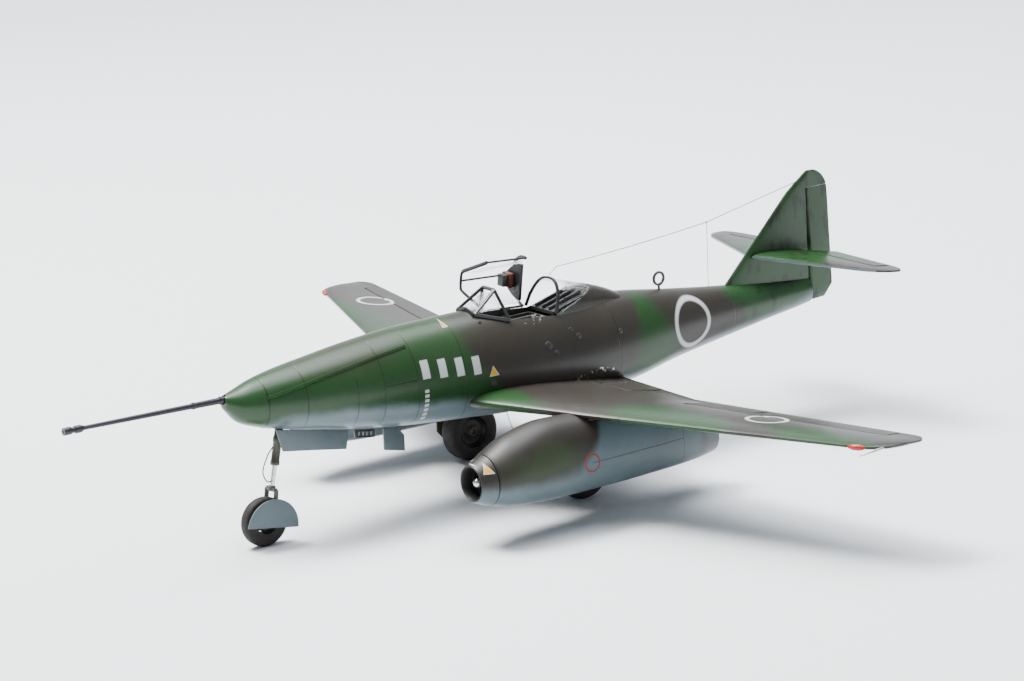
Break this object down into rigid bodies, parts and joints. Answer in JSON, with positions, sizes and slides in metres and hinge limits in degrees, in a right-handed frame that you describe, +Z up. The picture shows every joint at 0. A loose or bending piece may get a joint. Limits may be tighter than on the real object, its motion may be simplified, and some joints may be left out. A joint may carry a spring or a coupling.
{
  "type": "twin-jet fighter scale model",
  "caption": "Display model of a swept-wing twin-jet fighter with a long nose cannon, open canopy, hinged control surfaces and rolling wheels.",
  "frame": {"origin": "middle of the bounding box at the ground the wheels stand on", "axes": "+Y rearwards along the fuselage from nose to tail, +X to the port side, +Z up"},
  "size_m": [0.2606, 0.2689, 0.0737],
  "materials": {
    "camouflage_skin": "airbrushed green and brown, satin",
    "underside_skin": "pale blue-grey, satin",
    "dark_frame": "dark grey, matte",
    "clear": "clear",
    "cockpit_black": "black, matte",
    "seat_olive": "dark olive, matte",
    "bright_metal": "silver paint, satin",
    "gun_metal": "dark gunmetal paint, satin",
    "ballast": "plain",
    "wire": "black",
    "tyre": "dark, matte"
  },
  "bodies": {
    "airframe": {"aerial_wire": "wire", "cockpit_tub": "cockpit_black", "compressor_face_left": "bright_metal", "compressor_face_right": "bright_metal", "control_stick": "cockpit_black", "df_loop": "cockpit_black", "ejector_plate": "dark_frame", "exhaust_cone_left": "gun_metal", "exhaust_cone_right": "gun_metal", "fin": "camouflage_skin", "fuselage_left": "camouflage_skin", "fuselage_right": "camouflage_skin", "gun_barrel": "gun_metal", "instrument_panel": "cockpit_black", "intake_ring_left": "dark_frame", "intake_ring_right": "dark_frame", "main_leg_door_left": "underside_skin", "main_leg_door_right": "underside_skin", "main_leg_left": "seat_olive", "main_leg_right": "seat_olive", "muzzle_brake": "gun_metal", "nacelle_left": "underside_skin", "nacelle_right": "underside_skin", "nose_cap": "camouflage_skin", "nose_leg": "bright_metal", "nose_leg_door": "underside_skin", "nose_weight": "ballast", "nose_wheel_door": "underside_skin", "pitot_tube": "bright_metal", "rear_fairing": "camouflage_skin", "rear_hood_frame": "dark_frame", "rear_hood_glass": "clear", "seat": "seat_olive", "tailplane_left": "camouflage_skin", "tailplane_right": "camouflage_skin", "windscreen_frame": "dark_frame", "windscreen_glass": "clear", "wing_lower": "underside_skin", "wing_upper_left": "camouflage_skin", "wing_upper_right": "camouflage_skin"},
    "canopy": {"canopy_frame": "dark_frame", "canopy_glass": "clear", "head_armour": "cockpit_black"},
    "nose_fork": {"nose_fork": "seat_olive", "nose_mudguard": "underside_skin"},
    "nose_wheel": {"nose_tyre": "tyre", "nose_hub": "cockpit_black"},
    "main_wheel_left": {"main_left_tyre": "tyre", "main_left_hub": "cockpit_black"},
    "main_wheel_right": {"main_right_tyre": "tyre", "main_right_hub": "cockpit_black"},
    "aileron_left": {"aileron_left": "camouflage_skin"},
    "aileron_right": {"aileron_right": "camouflage_skin"},
    "flap_inner_left": {"flap_inner_left": "camouflage_skin"},
    "flap_inner_right": {"flap_inner_right": "camouflage_skin"},
    "flap_outer_left": {"flap_outer_left": "camouflage_skin"},
    "flap_outer_right": {"flap_outer_right": "camouflage_skin"},
    "elevator_left": {"elevator_left": "camouflage_skin"},
    "elevator_right": {"elevator_right": "camouflage_skin"},
    "rudder": {"rudder": "camouflage_skin"}
  },
  "joints": [
    {"name": "canopy_hinge", "type": "hinge", "parent": "airframe", "child": "canopy", "pos_m": [-0.00719, 0.01312, 0.04926], "axis": [0, 0.9975, -0.0701], "range_deg": [0, 85]},
    {"name": "nose_castor", "type": "hinge", "parent": "airframe", "child": "nose_fork", "pos_m": [0, -0.07267, 0.01634], "axis": [0, 0.2124, 0.9772], "range_deg": [-30, 30]},
    {"name": "nose_axle", "type": "hinge", "parent": "nose_fork", "child": "nose_wheel", "pos_m": [0, -0.07594, 0.00688], "axis": [1, 0, 0], "continuous": true},
    {"name": "main_axle_left", "type": "hinge", "parent": "airframe", "child": "main_wheel_left", "pos_m": [0.02667, 0.01302, 0.00875], "axis": [1, 0, 0], "continuous": true},
    {"name": "main_axle_right", "type": "hinge", "parent": "airframe", "child": "main_wheel_right", "pos_m": [-0.02667, 0.01302, 0.00875], "axis": [1, 0, 0], "continuous": true},
    {"name": "aileron_left_hinge", "type": "hinge", "parent": "airframe", "child": "aileron_left", "pos_m": [0.07708, 0.03333, 0.02956], "axis": [0.9815, 0.188, 0.0365], "range_deg": [-18, 18]},
    {"name": "aileron_right_hinge", "type": "hinge", "parent": "airframe", "child": "aileron_right", "pos_m": [-0.07708, 0.03333, 0.02956], "axis": [0.9815, -0.188, -0.0365], "range_deg": [-18, 18]},
    {"name": "flap_inner_left_hinge", "type": "hinge", "parent": "airframe", "child": "flap_inner_left", "pos_m": [0.01792, 0.02901, 0.02728], "axis": [0.9992, -0.0149, 0.0377], "range_deg": [-45, 0]},
    {"name": "flap_inner_right_hinge", "type": "hinge", "parent": "airframe", "child": "flap_inner_right", "pos_m": [-0.01792, 0.02901, 0.02728], "axis": [0.9992, 0.0149, -0.0377], "range_deg": [-45, 0]},
    {"name": "flap_outer_left_hinge", "type": "hinge", "parent": "airframe", "child": "flap_outer_left", "pos_m": [0.05437, 0.02972, 0.02866], "axis": [0.9823, 0.1834, 0.0371], "range_deg": [-45, 0]},
    {"name": "flap_outer_right_hinge", "type": "hinge", "parent": "airframe", "child": "flap_outer_right", "pos_m": [-0.05437, 0.02972, 0.02866], "axis": [0.9823, -0.1834, -0.0371], "range_deg": [-45, 0]},
    {"name": "elevator_left_hinge", "type": "hinge", "parent": "airframe", "child": "elevator_left", "pos_m": [0.00271, 0.12225, 0.04882], "axis": [1, 0, 0], "range_deg": [-20, 20]},
    {"name": "elevator_right_hinge", "type": "hinge", "parent": "airframe", "child": "elevator_right", "pos_m": [-0.00271, 0.12225, 0.04882], "axis": [1, 0, 0], "range_deg": [-20, 20]},
    {"name": "rudder_hinge", "type": "hinge", "parent": "airframe", "child": "rudder", "pos_m": [0, 0.12623, 0.03333], "axis": [0, -0.0379, 0.9993], "range_deg": [-25, 25]}
  ],
  "couplings": [
    {"joint": "aileron_right_hinge", "follows": "aileron_left_hinge", "ratio": -1},
    {"joint": "elevator_right_hinge", "follows": "elevator_left_hinge", "ratio": 1},
    {"joint": "flap_inner_right_hinge", "follows": "flap_inner_left_hinge", "ratio": 1},
    {"joint": "flap_outer_left_hinge", "follows": "flap_inner_left_hinge", "ratio": 1},
    {"joint": "flap_outer_right_hinge", "follows": "flap_inner_left_hinge", "ratio": 1}
  ]
}
